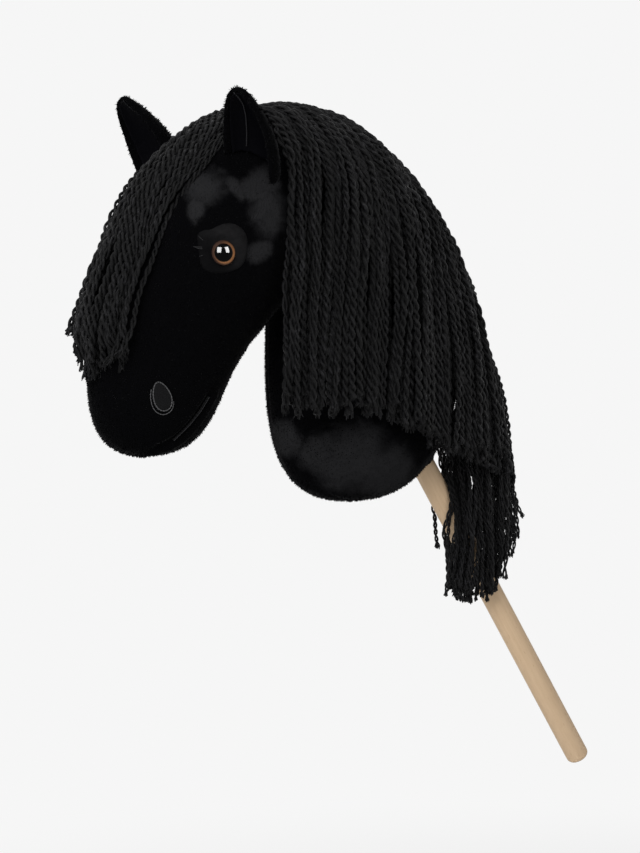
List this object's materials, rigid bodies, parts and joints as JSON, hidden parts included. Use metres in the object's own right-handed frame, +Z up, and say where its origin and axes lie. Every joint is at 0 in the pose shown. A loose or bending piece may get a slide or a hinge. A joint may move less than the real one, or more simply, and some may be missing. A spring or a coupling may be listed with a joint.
{
  "type": "hobby horse",
  "caption": "Stuffed black plush horse head and neck with upright ears, glossy eyes, a yarn forelock and mane, on a round wooden stick that pulls out of its sleeve.",
  "frame": {"origin": "on the stick's axis where a hand holds it, 198 mm above the stick's lower end", "axes": "+Z up with the stick leaning as it does in the picture, -X the way the horse faces, +Y to the horse's right"},
  "size_m": [0.6841, 0.2282, 0.7238],
  "materials": {
    "beech": "bare sanded beech",
    "sleeve_cotton": "plain black cotton",
    "felt": "felt",
    "eye_plastic": "polished, amber iris with a black pupil",
    "washer_plastic": "moulded",
    "fibre": "loose fibre filling",
    "plush": "short black plush, brushed paler in places",
    "satin": "smooth black lining",
    "grey_patch": "smooth fabric with a stitched edge",
    "tape": "woven cotton tape",
    "yarn": "thick twisted yarn"
  },
  "bodies": {
    "stick": {"stick": "beech"},
    "head": {"stick_sleeve": "sleeve_cotton", "sleeve_end_pad": "felt", "eye_left": "eye_plastic", "eye_right": "eye_plastic", "eye_washer_left": "washer_plastic", "eye_washer_right": "washer_plastic", "head_stuffing": "fibre", "neck_stuffing": "fibre", "face_gusset": "plush", "throat_gusset": "plush", "side_panel_left": "plush", "side_panel_right": "plush", "ear_outer_left": "plush", "ear_outer_right": "plush", "ear_lining_left": "satin", "ear_lining_right": "satin", "eye_patch_left": "satin", "eye_patch_right": "satin", "nostril_patch_left": "grey_patch", "nostril_patch_right": "grey_patch", "mouth_stitching_left": "grey_patch", "mouth_stitching_right": "grey_patch", "mane_tape": "tape", "forelock_tape": "tape", "forelock_left": "yarn", "forelock_middle": "yarn", "forelock_right": "yarn", "withers_lock_left": "yarn", "withers_lock_right": "yarn", "mane_lock_1": "yarn", "mane_lock_2": "yarn", "mane_lock_3": "yarn", "mane_lock_4": "yarn", "mane_lock_5": "yarn", "mane_lock_6": "yarn", "mane_lock_7": "yarn", "mane_lock_8": "yarn"}
  },
  "joints": [
    {"name": "head_pull_off", "type": "slide", "parent": "stick", "child": "head", "axis": [-0.5707, 0, 0.8211], "range_m": [0, 0.3]}
  ]
}
